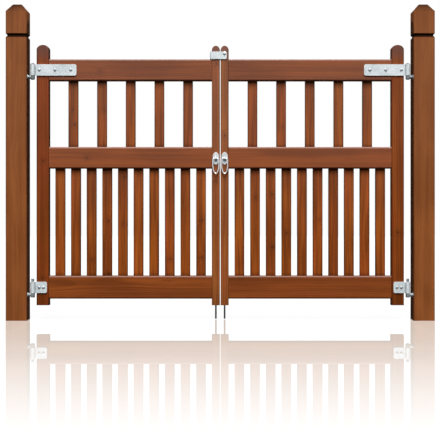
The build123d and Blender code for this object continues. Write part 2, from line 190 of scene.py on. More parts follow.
def raise_relief(tree, shader, height, strength, distance):
    step = tree.nodes.new("ShaderNodeBump")
    step.inputs["Strength"].default_value = strength
    step.inputs["Distance"].default_value = distance
    join(tree, height, step.inputs["Height"])
    join(tree, step.outputs["Normal"], shader.inputs["Normal"])


def new_finish(name):
    finish = bpy.data.materials.new(name)
    finish.use_nodes = True
    tree = finish.node_tree
    return finish, tree, tree.nodes["Principled BSDF"]


print("surface helpers ready")

# %% [markdown]
# ## Studio
# The gate stands on white in soft light from the front and above. One lamp could give that light, but it
# would be as soft to the sides as it is upwards. Three lamps, each steeper than the last, add up to a
# light that is tall and narrow: rails throw long soft shadows down the slats, while the sides of the
# boards stay dark. Three weaker lamps, from behind and from both sides, keep the other faces readable.
# The side lamps hang low, so that each post shades the inner side of the other.
#
# The white round the gate isn't more light. Rays from the camera find a white world, while the rays that
# light the timber find a dim one. Rays that mirror in metal find white in front and above, and dark grey
# behind, as if a cloth hung there, so metal darkens where it mirrors what lies behind it.
#
# The floor is pale and polished near the gate, so it mirrors the gate faintly, and it keeps the gate's
# shadow.

# %% Light the world
daylight = 0.045
cloth_grey = 0.06
cloth_edges = (0.15, -0.25)
ceiling_edges = (0.25, 0.65)

world = bpy.data.worlds.new("studio")
scene.world = world
world.use_nodes = True
world_tree = world.node_tree
world_tree.nodes.clear()
ways = world_tree.nodes.new("ShaderNodeLightPath").outputs
_, backward, upward = separate(world_tree, world_tree.nodes.new("ShaderNodeTexCoord").outputs["Generated"])
in_front = fade(world_tree, backward, *cloth_edges, cloth_grey, 1.0)
above = fade(world_tree, upward, *ceiling_edges)
mirrored = times(world_tree, ways["Is Glossy Ray"], larger(world_tree, in_front, above))
white = larger(world_tree, ways["Is Camera Ray"], ways["Is Transmission Ray"])
white = larger(world_tree, white, ways["Is Singular Ray"])
strength = larger(world_tree, larger(world_tree, white, mirrored), daylight)
sky = world_tree.nodes.new("ShaderNodeBackground")
sky.inputs["Color"].default_value = (1, 1, 1, 1)
join(world_tree, strength, sky.inputs["Strength"])
world_out = world_tree.nodes.new("ShaderNodeOutputWorld")
join(world_tree, sky.outputs["Background"], world_out.inputs["Surface"])
print("world: white to the camera,", daylight, "to the timber")

# %% Hang soft lamps
lamp_distance = 5
front_steepness = (1.2, 1.9, 3.4)
front_strength = 5.6
front_softness = 22
back_steepness = 0.9
back_strength = 2.8
back_softness = 8
side_steepness = 0.04
side_strength = 1.7
side_softness = 0.5


def add_lamp(name, comes_from, strength, softness):
    bpy.ops.object.select_all(action="DESELECT")
    bpy.ops.object.light_add(type="SUN", location=Vector(comes_from) * lamp_distance)
    lamp = bpy.context.object
    lamp.name = name
    lamp.rotation_euler = Vector(comes_from).to_track_quat("Z", "Y").to_euler()
    lamp.data.energy = strength
    lamp.data.angle = math.radians(softness)


front_share = front_strength / len(front_steepness)
for number, steepness in enumerate(front_steepness):
    add_lamp(f"front_lamp_{number}", (0, -1, steepness), front_share, front_softness)
add_lamp("back_lamp", (0, 1, back_steepness), back_strength, back_softness)
for name, way in (("left_lamp", -1), ("right_lamp", 1)):
    add_lamp(name, (way, 0, side_steepness), side_strength, side_softness)

# %% Lay the floor
floor_side = 24.0

bpy.ops.object.select_all(action="DESELECT")
bpy.ops.mesh.primitive_plane_add(size=floor_side, location=(0, 0, 0))
floor = bpy.context.object
floor.name = "floor"
print("floor", floor_side, "m square")

# %% Paint and polish the floor
floor_white = 0.84
floor_mirrored = 0.2
floor_bounce = (0.05, 0.05, 0.05, 1)
floor_grey = (0.8, 0.8, 0.8, 1)
polish = (0.43, 0.51, 0.57, 1)
polish_end = 3.1
polish_curve = 1.7

paint = bpy.data.materials.new("pale_floor")
paint.use_nodes = True
floor_tree = paint.node_tree
floor_tree.nodes.clear()
ways = floor_tree.nodes.new("ShaderNodeLightPath").outputs
seen = larger(floor_tree, ways["Is Camera Ray"], ways["Is Transmission Ray"])
dim = times(floor_tree, ways["Is Glossy Ray"], floor_mirrored)
glowing = larger(floor_tree, times(floor_tree, seen, floor_white), dim)
distance = calculate(floor_tree, "ABSOLUTE", separate(floor_tree, object_place(floor_tree))[1])
gone = calculate(floor_tree, "POWER", calculate(floor_tree, "DIVIDE", distance, polish_end), polish_curve)
shine = times(floor_tree, minus(floor_tree, 1.0, smaller(floor_tree, gone, 1.0)), seen)
given = mix_colours(floor_tree, shine, (0, 0, 0, 1), polish)
kept = mix_colours(floor_tree, 1.0, (1, 1, 1, 1), given, "SUBTRACT")
grey = mix_colours(floor_tree, seen, floor_bounce, floor_grey)

shade = floor_tree.nodes.new("ShaderNodeBsdfDiffuse")
join(floor_tree, mix_colours(floor_tree, 1.0, grey, kept, "MULTIPLY"), shade.inputs["Color"])
glow = floor_tree.nodes.new("ShaderNodeEmission")
join(floor_tree, kept, glow.inputs["Color"])
painted = floor_tree.nodes.new("ShaderNodeMixShader")
join(floor_tree, glowing, painted.inputs["Fac"])
join(floor_tree, shade.outputs["BSDF"], painted.inputs[1])
join(floor_tree, glow.outputs["Emission"], painted.inputs[2])
mirror = floor_tree.nodes.new("ShaderNodeBsdfAnisotropic")
join(floor_tree, given, mirror.inputs["Color"])
mirror.inputs["Roughness"].default_value = 0.0
polished = floor_tree.nodes.new("ShaderNodeAddShader")
join(floor_tree, painted.outputs["Shader"], polished.inputs[0])
join(floor_tree, mirror.outputs["BSDF"], polished.inputs[1])
floor_out = floor_tree.nodes.new("ShaderNodeOutputMaterial")
join(floor_tree, polished.outputs["Shader"], floor_out.inputs["Surface"])
floor.data.materials.append(paint)
print("floor polished to", polish_end, "m from the gate")

# %% [markdown]
# ## Stained timber
# The boards are planed softwood under a red-brown stain that lets the grain show. A picture of wood
# wrapped on the boards would repeat, and would lie wrong on their ends. Solid timber is a better model:
# the tree's rings are surfaces in space, and a board is a piece cut out of them, so faces, edges and ends
# agree. The recipe turns the grain to run along the board and moves the tree's pith beside it. It wraps
# rings round that, bends them round a few knots, and lays streaks of stain and fine fibre over them.
#
# Each board differs. Its object colour, which the material reads, holds three numbers: how light the
# board took the stain, where its middle lies across the grain, and a seed that picks its own stretch of
# the tree. Its pass index holds half of its width in tenths of a millimetre, which tells how far away its
# arrises are.

# %% Where a point lies in its board
across_shift = 2.0
index_step = 0.0001
seed_length = 9.0


def board_place(tree, level):
    place = object_place(tree)
    if level:
        turn = tree.nodes.new("ShaderNodeMapping")
        turn.inputs["Rotation"].default_value = (0, math.radians(-90), 0)
        join(tree, place, turn.inputs["Vector"])
        place = turn.outputs["Vector"]
    info = tree.nodes.new("ShaderNodeObjectInfo").outputs
    tone, middle, seed = separate(tree, info["Color"], "Color")
    half = times(tree, info["Object Index"], index_step)
    across, depth, along = separate(tree, place)
    across = minus(tree, plus(tree, across, across_shift), middle)
    along = plus(tree, along, times(tree, seed, seed_length))
    return tone, seed, half, across, depth, along


def own_share(tree, seed, turns):
    return calculate(tree, "FRACT", times(tree, seed, turns))


print("boards are cut from", seed_length, "m of tree")

# %% Knots: branches that the saw cut across
knot_cells_per_metre = 11.0
knot_scatter = 0.75
smallest_knot = 0.004
knot_spread = 0.009
knot_halo = 0.034
ragged_scale = (120, 120, 1)
ragged_edge = 0.008


def knots(tree, across, along, knot_share):
    ragged = noise(tree, combine(tree, across, along, 0.0), ragged_scale)
    shifted = plus(tree, along, times(tree, ragged, ragged_edge))
    cells = tree.nodes.new("ShaderNodeTexVoronoi")
    cells.voronoi_dimensions = "2D"
    cells.inputs["Scale"].default_value = knot_cells_per_metre
    cells.inputs["Randomness"].default_value = knot_scatter
    join(tree, combine(tree, across, shifted, 0.0), cells.inputs["Vector"])
    chance, size, _ = separate(tree, cells.outputs["Color"], "Color")
    there = calculate(tree, "LESS_THAN", chance, knot_share)
    away = calculate(tree, "DIVIDE", cells.outputs["Distance"], knot_cells_per_metre)
    radius = plus(tree, times(tree, size, knot_spread), smallest_knot)
    core = times(tree, there, fade(tree, away, radius, 0.0))
    halo = times(tree, there, fade(tree, away, knot_halo, 0.0))
    return core, halo


print("knots", smallest_knot, "to", smallest_knot + knot_spread, "m in radius")

# %% Rings of the tree, as pale early wood that darkens to late wood
ring_width = 0.0062
ring_wander = 0.03
wander_scale = (9, 9, 1.6)
knot_bend = 0.014
pith_beside = 0.11
pith_behind = 0.045
pith_lean = 0.05
beside_turns = 7.31
lean_turns = 3.17
late_start = (0.25, 0.9)
late_stop = (1.0, 0.93)


def late_wood(tree, seed, across, depth, along, halo):
    beside = times(tree, minus(tree, own_share(tree, seed, beside_turns), 0.5), 2 * pith_beside)
    lean = times(tree, minus(tree, own_share(tree, seed, lean_turns), 0.5), pith_lean)
    beside = plus(tree, beside, times(tree, along, lean))
    from_pith = combine(tree, minus(tree, across, beside), minus(tree, depth, pith_behind), 0.0)
    wander = noise(tree, combine(tree, across, depth, along), wander_scale)
    radius = plus(tree, vector_length(tree, from_pith), times(tree, wander, ring_wander))
    radius = plus(tree, radius, times(tree, halo, knot_bend))
    ring = calculate(tree, "FRACT", calculate(tree, "DIVIDE", radius, ring_width))
    return times(tree, fade(tree, ring, *late_start), fade(tree, ring, *late_stop))


print("rings", ring_width, "m wide")

# %% Stain: golden or red by board and by drift, deep where it soaked in
hue_turns = 5.3
own_redness = 0.45
drift_scale = (26, 26, 2.3)
drift_edges = (0.42, 0.62)
drift_redness = 0.5
streak_edges = (0.38, 0.64)
patch_edges = (0.40, 0.66)
patch_soak = 0.5


def soak_in(tree, seed, place, stains, streaks, patches, soak_depth):
    golden_stain, red_stain, deep_stain = stains
    redness = times(tree, own_share(tree, seed, hue_turns), own_redness)
    drift = noise(tree, place, drift_scale)
    redness = plus(tree, redness, fade(tree, drift, *drift_edges, 0.0, drift_redness))
    colour = mix_colours(tree, smaller(tree, redness, 1.0), golden_stain, red_stain)
    soak = fade(tree, streaks, *streak_edges, 0.0, soak_depth)
    soak = plus(tree, soak, fade(tree, patches, *patch_edges, 0.0, patch_soak))
    return mix_colours(tree, soak, colour, deep_stain)


print("hues repeat every", round(1 / hue_turns, 3), "of the seed")

# %% Grain: rings, fibre and knots, drawn over the stain
late_colour = (0.055, 0.012, 0.004, 1)
halo_colour = (0.09, 0.022, 0.008, 1)
knot_colour = (0.022, 0.007, 0.004, 1)
ring_patch_edges = (0.2, 0.8)
faint_rings = 0.4
fibre_edges = (0.35, 0.75)
fibre_stain = 0.35
halo_stain = 0.3
knot_stain = 0.6


def draw_rings(tree, colour, late, patches, ring_depth):
    shown = fade(tree, patches, *ring_patch_edges, ring_depth, ring_depth * faint_rings)
    return mix_colours(tree, times(tree, late, shown), colour, late_colour)


def draw_fibre(tree, colour, fibre, deep_stain):
    return mix_colours(tree, fade(tree, fibre, *fibre_edges, 0.0, fibre_stain), colour, deep_stain)


def draw_knots(tree, colour, core, halo):
    colour = mix_colours(tree, times(tree, halo, halo_stain), colour, halo_colour)
    return mix_colours(tree, times(tree, core, knot_stain), colour, knot_colour)


print("grain helpers ready")

# %% [markdown]
# ## Weather and painted shade
# Out of doors, timber ages by place. The colour turns greyer towards the top. Cut ends and damp feet go
# dark, and arrises get painted shade. The upper arrises of the rails are paler, partly from stain worn thin
# and partly as a painted highlight. The tops of the rails and the slats where they meet a rail get painted
# shade, the posts' grooves get painted shade and pooled stain, and the posts get painted shade towards their
# crests. This could be painted on each board by hand. Reading the height and the slope of the surface
# instead puts it on every board at once.

# %% What every board has: greying with height, dark ends and arrises with painted shade
greying_heights = (0.3, 1.25)
upper_grey = (0.30, 0.33, 0.34, 1)
end_slope = (0.25, 0.8)
dark_end = 0.36
arris_reach = 0.007
arris_shade = 0.55


# Turns the colour greyer towards the top of the gate.
def grey_with_height(tree, colour, height, greying):
    return mix_colours(tree, fade(tree, height, *greying_heights, 0.0, greying), colour, upper_grey)


def darken_ends(tree, light, cut_end):
    return times(tree, light, fade(tree, cut_end, 0.0, 1.0, 1.0, dark_end))


# Darkens each board near its arrises: painted shade.
def shade_arrises(tree, light, half, outward):
    inset = minus(tree, half, outward)
    return times(tree, light, fade(tree, inset, 0.0, arris_reach, arris_shade, 1.0))


print("arrises dark for", arris_reach, "m")

# %% What only rails, only posts, or only stiles and slats have
worn_and_highlit_wood = (0.29, 0.19, 0.165, 1)
worn_and_highlit_slope = (0.02, 0.4)
worn_and_highlit_share = 0.7
flat_slope = (0.8, 0.98)
top_shade = 0.35

groove_height = 1.337
groove_half = 0.0095
groove_edges = (0.8 * groove_half, 1.05 * groove_half)
groove_shade = 0.16
crest_reach = 0.028
crest_shade = 0.45
post_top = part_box("left_post")[1].z

greyer_head_colour = (0.160, 0.082, 0.070, 1)
head_reach = (1.200, 1.275)
head_share = 0.7
foot_reach = (0.07, 0.22)
damp_foot = 0.75


def wear_highlight_and_shade_rail(tree, colour, light, upward):
    flat = fade(tree, upward, *flat_slope)
    # Pales the rails' upper arrises: partly stain worn thin, partly a painted highlight.
    worn_and_highlit = times(tree, fade(tree, upward, *worn_and_highlit_slope, 0.0, worn_and_highlit_share), minus(tree, 1.0, flat))
    colour = mix_colours(tree, worn_and_highlit, colour, worn_and_highlit_wood)
    # Darkens the flat tops of the rails with painted shade.
    return colour, times(tree, light, fade(tree, upward, *flat_slope, 1.0, top_shade))


def shade_post_groove_and_crest(tree, colour, light, height):
    away = calculate(tree, "ABSOLUTE", minus(tree, height, groove_height))
    # Darkens the groove: painted shade, with some stain pooled in it.
    light = times(tree, light, fade(tree, away, *groove_edges, groove_shade, 1.0))
    # Darkens the post towards its crest with painted shade.
    crest = fade(tree, height, post_top - crest_reach, post_top, 1.0, crest_shade)
    return colour, times(tree, light, crest)


def weather_upright(tree, colour, light, height):
    # Turns the upper ends of the stiles greyer and darker.
    colour = mix_colours(tree, fade(tree, height, *head_reach, 0.0, head_share), colour, greyer_head_colour)
    return colour, times(tree, light, fade(tree, height, *foot_reach, damp_foot, 1.0))


print("post heads end at", round(post_top, 3), "m")

# %% Painted shade on the slats, at the rails that they end in
under_rail_reach = 0.045
under_rail_shade = 0.5
on_rail_reach = 0.020
on_rail_shade = 0.6

bottom_rail, middle_rail, top_rail = [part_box(f"left_{place}_rail") for place in ("bottom", "middle", "top")]
slat_spans = [(bottom_rail[1].z, middle_rail[0].z), (middle_rail[1].z, top_rail[0].z)]


def paint_shade_at_rails(tree, light, height):
    for low, high in slat_spans:
        above = minus(tree, height, low)
        below = minus(tree, high, height)
        outside = calculate(tree, "LESS_THAN", smaller(tree, above, below), 0.0)
        # Painted shadow under the rail above, and painted shade where the slat meets the rail below.
        painted_shade = fade(tree, below, 0.0, under_rail_reach, under_rail_shade, 1.0)
        painted_shade = times(tree, painted_shade, fade(tree, above, 0.0, on_rail_reach, on_rail_shade, 1.0))
        light = times(tree, light, larger(tree, painted_shade, outside))
    return light


print("slats show between the heights", slat_spans)

# %% The whole finish
patch_scale = (8, 8, 2.6)
fibre_scale = (700, 700, 16)
satin_edges = (0.2, 0.8)
satin_range = (0.52, 0.64)
rougher_end = 0.2
timber_gloss = 0.02
late_height = 0.6
fibre_height = 0.5
grain_relief = 0.35
grain_height = 0.0006


def stained_timber(
    name,
    part,
    golden_stain,
    red_stain,
    deep_stain,
    streak_width,
    greying,
    streak_length=0.9,
    ring_depth=0.42,
    soak_depth=0.5,
    knot_share=0.09,
):
    finish, tree, shader = new_finish(name)
    level = part == "rail"
    tone, seed, half, across, depth, along = board_place(tree, level)
    place = combine(tree, across, depth, along)
    core, halo = knots(tree, across, along, knot_share)
    late = late_wood(tree, seed, across, depth, along, halo)
    streaks = noise(tree, place, (1 / streak_width, 1 / streak_width, 1 / streak_length), detail=3.0)
    patches = noise(tree, place, patch_scale)
    fibre = noise(tree, place, fibre_scale, detail=3.0)

    stains = (golden_stain, red_stain, deep_stain)
    colour = soak_in(tree, seed, place, stains, streaks, patches, soak_depth)
    colour = draw_rings(tree, colour, late, patches, ring_depth)
    colour = draw_fibre(tree, colour, fibre, deep_stain)
    colour = draw_knots(tree, colour, core, halo)

    height = separate(tree, object_place(tree))[2]
    sideways, _, upward = separate(tree, tree.nodes.new("ShaderNodeNewGeometry").outputs["Normal"])
    cut_end = fade(tree, calculate(tree, "ABSOLUTE", sideways if level else upward), *end_slope)
    colour = grey_with_height(tree, colour, height, greying)
    light = darken_ends(tree, tone, cut_end)
    # A rail's upper arris is paler, partly worn stain and partly painted highlight, so only its lower one, on
    # the positive side, gets painted shade.
    outward = across if level else calculate(tree, "ABSOLUTE", across)
    light = shade_arrises(tree, light, half, outward)
    if part == "rail":
        colour, light = wear_highlight_and_shade_rail(tree, colour, light, upward)
    elif part == "post":
        colour, light = shade_post_groove_and_crest(tree, colour, light, height)
    else:
        colour, light = weather_upright(tree, colour, light, height)
    if part == "slat":
        light = paint_shade_at_rails(tree, light, height)
    colour = mix_colours(tree, 1.0, colour, combine(tree, light, light, light), "MULTIPLY")
    join(tree, colour, shader.inputs["Base Color"])

    satin = plus(tree, fade(tree, streaks, *satin_edges, *satin_range), times(tree, cut_end, rougher_end))
    join(tree, satin, shader.inputs["Roughness"])
    shader.inputs["Specular IOR Level"].default_value = timber_gloss
    raised = plus(tree, times(tree, late, late_height), times(tree, fibre, fibre_height))
    raise_relief(tree, shader, minus(tree, raised, core), grain_relief, grain_height)
    return finish


print("timber recipe ready")

# %% [markdown]
# ## Five stains
# Posts, hanging stiles, closing stiles, slats and rails come from different planks, and the stain took to
# each kind in its own way. One recipe serves them all, with three stain colours and a few measures for
# each: posts are calm and brown, slats are the most mixed, and rails turn the greyest towards the top.

# %% Mix the five stains
post_timber = stained_timber(
    "post_timber",
    "post",
    golden_stain=(0.330, 0.108, 0.030, 1),
    red_stain=(0.285, 0.088, 0.027, 1),
    deep_stain=(0.175, 0.050, 0.013, 1),
    streak_width=0.026,
    greying=0.03,
    ring_depth=0.15,
    soak_depth=0.35,
)
hanging_timber = stained_timber(
    "hanging_timber",
    "stile",
    golden_stain=(0.385, 0.105, 0.014, 1),
    red_stain=(0.350, 0.064, 0.014, 1),
    deep_stain=(0.165, 0.036, 0.007, 1),
    streak_width=0.017,
    greying=0.04,
)
closing_timber = stained_timber(
    "closing_timber",
    "stile",
    golden_stain=(0.375, 0.130, 0.028, 1),
    red_stain=(0.335, 0.085, 0.028, 1),
    deep_stain=(0.185, 0.050, 0.014, 1),
    streak_width=0.017,
    greying=0.07,
)
slat_timber = stained_timber(
    "slat_timber",
    "slat",
    golden_stain=(0.400, 0.104, 0.012, 1),
    red_stain=(0.350, 0.068, 0.016, 1),
    deep_stain=(0.178, 0.042, 0.008, 1),
    streak_width=0.014,
    greying=0.07,
    streak_length=0.35,
    soak_depth=0.75,
    knot_share=0.15,
)
rail_timber = stained_timber(
    "rail_timber",
    "rail",
    golden_stain=(0.345, 0.088, 0.018, 1),
    red_stain=(0.310, 0.075, 0.020, 1),
    deep_stain=(0.180, 0.045, 0.011, 1),
    streak_width=0.022,
    greying=0.09,
)
print("slat timber has", len(slat_timber.node_tree.nodes), "nodes")

# %% [markdown]
# ## Boards
# Boards from one stack take the same stain differently. Stepping through them by the golden ratio gives
# each its own tone and seed, evenly spread and the same on every run, where random numbers would need a
# fixed seed to stay the same. The two sides are a matched pair: a board and its twin on the other side
# have the same tone and hue, but each has its own stretch of the tree, so their grain differs.

# %% Give every board its finish, tone and stretch of the tree
golden = (math.sqrt(5) - 1) / 2
seed_step = 1.7 * golden
tone_ranges = {
    "post": (1.00, 1.05),
    "hanging_stile": (0.88, 0.94),
    "closing_stile": (1.22, 1.28),
    "top_rail": (1.05, 1.09),
    "middle_rail": (1.18, 1.24),
    "bottom_rail": (0.92, 0.97),
    "slat": (1.05, 1.17),
}
upright_timbers = {
    "post": post_timber,
    "hanging_stile": hanging_timber,
    "closing_stile": closing_timber,
    "slat": slat_timber,
}


def board_kind(name):
    for kind in tone_ranges:
        if kind in name:
            return kind
    return None


def middle_of(name):
    lowest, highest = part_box(name)
    return (lowest + highest) / 2


boards = [name for name in sorted(nodes) if board_kind(name)]
twins = sorted({name.split("_", 1)[1] for name in boards})
for name in boards:
    kind = board_kind(name)
    side, twin = name.split("_", 1)
    number = twins.index(twin)
    darkest, lightest = tone_ranges[kind]
    tone = darkest + (lightest - darkest) * ((number * golden) % 1.0)
    seed = ((number + 1) * seed_step) % 1.0
    if side == "right":
        seed += 1 / hue_turns
    level = kind.endswith("rail")
    middle = middle_of(name)
    across = -middle.z if level else middle.x
    lowest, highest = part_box(name)
    width = highest.z - lowest.z if level else highest.x - lowest.x
    nodes[name].color = (tone, across + across_shift, seed, 1)
    nodes[name].pass_index = round(width / 2 / index_step)
    nodes[name].material_slots[0].material = rail_timber if level else upright_timbers[kind]
print(len(boards), "boards stained")

# %% [markdown]
# ## Galvanised steel
# Bands, hooks, guides and the loop were dipped in molten zinc, which freezes into crystals. Each reflects
# a little differently, so the steel looks pale and mottled more than shiny. A Voronoi pattern has the
# crystals' shape, and its colour gives each its own brightness and polish. Slow noise dulls whole
# patches, and a faint bump leaves the surface as uneven as a dipped coat. Two darker copies carry painted
# shade: a duller one for the heads of the bands' screws, and a dark one for the hooks.

# %% Make the galvanised finishes
crystal_width = 0.006
crystal_dullness = 0.55
zinc_patch_scale = (22, 22, 22)
zinc_patch_edges = (0.35, 0.7)
zinc_patch_dullness = 0.6
zinc_speck_scale = (420, 420, 420)
zinc_roughness = (0.44, 0.58)
speck_roughness = 0.08
zinc_metallic = 0.4
coat_patch_height = 1.5
coat_crystal_height = 0.25
coat_relief = 0.4
coat_height = 0.0004


def galvanised_steel(name, pale, dull):
    finish, tree, shader = new_finish(name)
    place = object_place(tree)
    crystals = tree.nodes.new("ShaderNodeTexVoronoi")
    crystals.inputs["Scale"].default_value = 1 / crystal_width
    join(tree, place, crystals.inputs["Vector"])
    flash, tilt, _ = separate(tree, crystals.outputs["Color"], "Color")
    patches = noise(tree, place, zinc_patch_scale, detail=4.0)
    specks = noise(tree, place, zinc_speck_scale)
    dullness = times(tree, flash, crystal_dullness)
    dullness = plus(tree, dullness, fade(tree, patches, *zinc_patch_edges, 0.0, zinc_patch_dullness))
    join(tree, mix_colours(tree, smaller(tree, dullness, 1.0), pale, dull), shader.inputs["Base Color"])
    shader.inputs["Metallic"].default_value = zinc_metallic
    rough = plus(tree, fade(tree, tilt, 0.0, 1.0, *zinc_roughness), times(tree, specks, speck_roughness))
    join(tree, rough, shader.inputs["Roughness"])
    uneven = plus(tree, times(tree, patches, coat_patch_height), times(tree, flash, coat_crystal_height))
    raise_relief(tree, shader, uneven, coat_relief, coat_height)
    return finish


galvanised = galvanised_steel("galvanised_steel", (0.73, 0.78, 0.80, 1), (0.54, 0.60, 0.62, 1))
# A darker copy with painted shade, for the heads of the bands' screws.
shaded_screw_zinc = galvanised_steel("zinc_with_painted_shade", (0.42, 0.45, 0.47, 1), (0.33, 0.36, 0.38, 1))
# A dark copy with painted shade, for the hooks.
shaded_hook_zinc = galvanised_steel("zinc_with_deep_painted_shade", (0.26, 0.29, 0.30, 1), (0.13, 0.15, 0.16, 1))
print("galvanised finishes made, with crystals of", crystal_width, "m")

# %% [markdown]
# ## Bright zinc and dark steel
# Pulls and small screws are plated, so they are smoother and brighter than the dipped pieces. The drop
# bolts are bare rod, dark from oil. Both start from the same two noises: slow stains in the colour and
# fine specks in the polish. Under the boss that a ring swings in, the pulls get a dark spot of painted
# shadow. The two pulls are mirror images, so one distance from the middle of the gate finds both spots.

# %% Make the plated and bare metals
stain_scale = (60, 60, 45)
stain_edges = (0.38, 0.7)
metal_speck_scale = (900, 900, 900)
polish_edges = (0.6, 1.4)
metal_relief = 0.15
metal_height = 0.0002
# A dark spot of painted shadow under the boss that the ring swings in.
boss_shadow_drop = 0.0100
boss_shadow_edges = (0.0090, 0.0055)
boss_shadow_share = 0.85
boss_shadow_colour = (0.045, 0.065, 0.080, 1)


# Paints the shadow under each pull's boss as a dark spot.
def paint_boss_shadow(tree, colour, place, boss):
    x, _, z = separate(tree, place)
    beside = minus(tree, calculate(tree, "ABSOLUTE", x), boss.x)
    higher = minus(tree, z, boss.z - boss_shadow_drop)
    away = vector_length(tree, combine(tree, beside, 0.0, higher))
    return mix_colours(tree, fade(tree, away, *boss_shadow_edges, 0.0, boss_shadow_share), colour, boss_shadow_colour)


def plain_metal(name, clean, stained, metallic, smooth, rough, boss=None):
    finish, tree, shader = new_finish(name)
    place = object_place(tree)
    stains = noise(tree, place, stain_scale, detail=4.0)
    specks = noise(tree, place, metal_speck_scale)
    colour = mix_colours(tree, fade(tree, stains, *stain_edges), clean, stained)
    if boss is not None:
        colour = paint_boss_shadow(tree, colour, place, boss)
    join(tree, colour, shader.inputs["Base Color"])
    shader.inputs["Metallic"].default_value = metallic
    dulling = fade(tree, plus(tree, stains, specks), *polish_edges, smooth, rough)
    join(tree, dulling, shader.inputs["Roughness"])
    raise_relief(tree, shader, specks, metal_relief, metal_height)
    return finish


zinc = {
    "clean": (0.78, 0.81, 0.82, 1),
    "stained": (0.60, 0.64, 0.66, 1),
    "metallic": 0.75,
    "smooth": 0.24,
    "rough": 0.42,
}
pull_middle = middle_of("right_pull_plate")
bright_zinc = plain_metal("bright_zinc", **zinc)
zinc_with_boss_shadow = plain_metal("zinc_with_boss_shadow", **zinc, boss=pull_middle)
dark_steel = plain_metal(
    "dark_steel",
    clean=(0.085, 0.085, 0.088, 1),
    stained=(0.045, 0.043, 0.042, 1),
    metallic=0.6,
    smooth=0.34,
    rough=0.55,
)
# The pulls' dark spot is painted shadow under the boss.
print("pulls greased", boss_shadow_drop, "m under their middle")

# %% Give the fittings their finishes
fitting_finishes = {
    "upper_band": galvanised,
    "lower_band": galvanised,
    "bolt_guides": galvanised,
    # The hooks take the copy with deep painted shade.
    "gate_hooks": shaded_hook_zinc,
    "pull_plate": zinc_with_boss_shadow,
    "pull_ring": zinc_with_boss_shadow,
    "drop_bolt": dark_steel,
}
for side in ("left", "right"):
    for piece, finish in fitting_finishes.items():
        nodes[f"{side}_{piece}"].material_slots[0].material = finish
nodes["throw_over_loop"].material_slots[0].material = galvanised
print(2 * len(fitting_finishes) + 1, "fittings finished")


# %% [markdown]
# ## Screws
# The bands are held by stout screws with domed heads, and the small fittings by countersunk ones. Both
# have a cross recess for the driver. A screw is turned on a lathe, so it could be a profile spun round an
# axis. Here it starts as a thin round blank: its top face is lifted and drawn in by steps to a dome, and
# its underside is drawn in to the shank and out to a point. A cross-shaped cutter then takes out the
# recess. Each kind is modelled once, and its copies are turned by different amounts, because no two
# screws stop at the same angle.

# %% Helpers for modelling with operators
turned_sides = 40
smooth_angle = math.radians(35)
level_gap = 1e-6
level_slope = 0.99
merge_gap = 1e-7


def edit(piece):
    bpy.ops.object.select_all(action="DESELECT")
    piece.select_set(True)
    bpy.context.view_layer.objects.active = piece
    bpy.ops.object.mode_set(mode="EDIT")
    bpy.ops.mesh.select_mode(type="FACE")


def select_level(piece, height):
    bpy.ops.mesh.select_all(action="DESELECT")
    bpy.ops.object.mode_set(mode="OBJECT")
    for face in piece.data.polygons:
        face.select = abs(face.center.z - height) < level_gap and abs(face.normal.z) > level_slope
    bpy.ops.object.mode_set(mode="EDIT")


def next_ring(scale, lift):
    bpy.ops.mesh.extrude_region_move(TRANSFORM_OT_translate={"value": (0, 0, lift)})
    bpy.ops.transform.resize(value=(scale, scale, 1), center_override=(0, 0, 0))


def stop_editing():
    bpy.ops.mesh.select_all(action="SELECT")
    bpy.ops.mesh.remove_doubles(threshold=merge_gap)
    bpy.ops.mesh.normals_make_consistent(inside=False)
    bpy.ops.object.mode_set(mode="OBJECT")
    bpy.ops.object.shade_smooth_by_angle(angle=smooth_angle)


def round_blank(name, radius, thickness, sides=turned_sides):
    bpy.ops.object.select_all(action="DESELECT")
    bpy.ops.mesh.primitive_cylinder_add(
        vertices=sides, radius=radius, depth=thickness, location=(0, 0, thickness / 2)
    )
    blank = bpy.context.object
    blank.name = name
    bpy.ops.object.transform_apply(location=True, rotation=True, scale=True)
    edit(blank)
    return blank


def carve(piece, tool, operation):
    change = piece.modifiers.new("carve", "BOOLEAN")
    change.operation = operation
    change.object = tool
    change.solver = "EXACT"
    change.use_self = True
    bpy.ops.object.select_all(action="DESELECT")
    piece.select_set(True)
    bpy.context.view_layer.objects.active = piece
    bpy.ops.object.modifier_apply(modifier=change.name)
    bpy.data.objects.remove(tool)
    bpy.ops.object.shade_smooth_by_angle(angle=smooth_angle)


print("modelling helpers ready")

# %% Turn the head and the shank
head_edge = 0.0004
dome_steps = 7
point_share = 0.02


def raise_dome(radius, height):
    ball = (radius**2 + height**2) / (2 * height)
    spread = math.asin(radius / ball)
    ring_radius = radius
    ring_height = 0.0
    for step in range(1, dome_steps + 1):
        angle = spread * (1 - step / (dome_steps + 1))
        next_radius = ball * math.sin(angle)
        next_height = height - ball * (1 - math.cos(angle))
        next_ring(next_radius / ring_radius, next_height - ring_height)
        ring_radius = next_radius
        ring_height = next_height


def turn_screw(name, head_radius, dome_height, sink, shank_radius, length):
    screw = round_blank(name, head_radius, head_edge)
    if dome_height > head_edge:
        select_level(screw, head_edge)
        raise_dome(head_radius, dome_height - head_edge)
    select_level(screw, 0.0)
    next_ring(shank_radius / head_radius, -sink)
    next_ring(1.0, sink + shank_radius - length)
    next_ring(point_share, -shank_radius)
    stop_editing()
    return screw


domed_height = 0.0035
domed_screw = turn_screw(
    "domed_screw", head_radius=0.0075, dome_height=domed_height, sink=0.0, shank_radius=0.0035, length=0.032
)
sunk_screw = turn_screw(
    "sunk_screw", head_radius=0.0036, dome_height=0.0, sink=0.0017, shank_radius=0.0019, length=0.015
)
print("screws turned with domes of", dome_steps, "steps")

# %% Cut the cross recess with a tapered cutter
cross_taper = (0.4, 0.8, 1)


